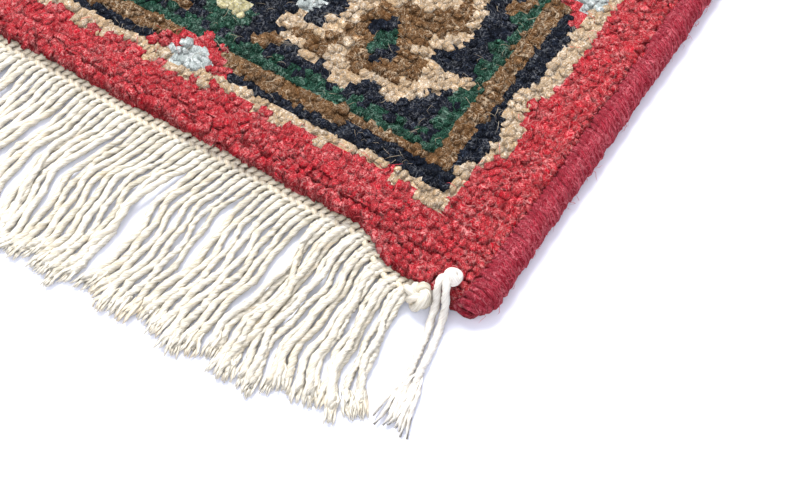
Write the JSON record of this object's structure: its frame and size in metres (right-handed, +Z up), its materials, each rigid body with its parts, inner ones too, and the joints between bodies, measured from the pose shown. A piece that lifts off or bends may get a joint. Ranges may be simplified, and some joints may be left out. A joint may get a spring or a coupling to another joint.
{
  "type": "oriental rug",
  "caption": "Small hand-knotted wool rug with a bordered floral pattern, overcast side edges and a plaited, fringed cotton band at each end; lies flat on a floor.",
  "frame": {"origin": "on the floor under the middle of the rug", "axes": "+Z up from the floor, +Y along the warp, with the fringes at -Y and +Y and the selvedges at -X and +X"},
  "size_m": [0.3988, 0.7202, 0.0131],
  "materials": {
    "pile_wool": "cut wool pile, matt, knotted in red, beige, navy, brown, green and pale blue",
    "selvedge_wool": "fuzzy wine-red overcast wool, matt",
    "warp_cotton": "unbleached plied cotton, matt",
    "tie_thread": "white plied cotton, matt"
  },
  "bodies": {
    "root": {"knotted_pile": "pile_wool", "selvedge_right": "selvedge_wool", "selvedge_left": "selvedge_wool", "fringe_front": "warp_cotton", "fringe_back": "warp_cotton", "plait_knot_front": "warp_cotton", "plait_knot_back": "warp_cotton", "corner_tie_front": "tie_thread", "corner_tie_back": "tie_thread"}
  },
  "joints": []
}
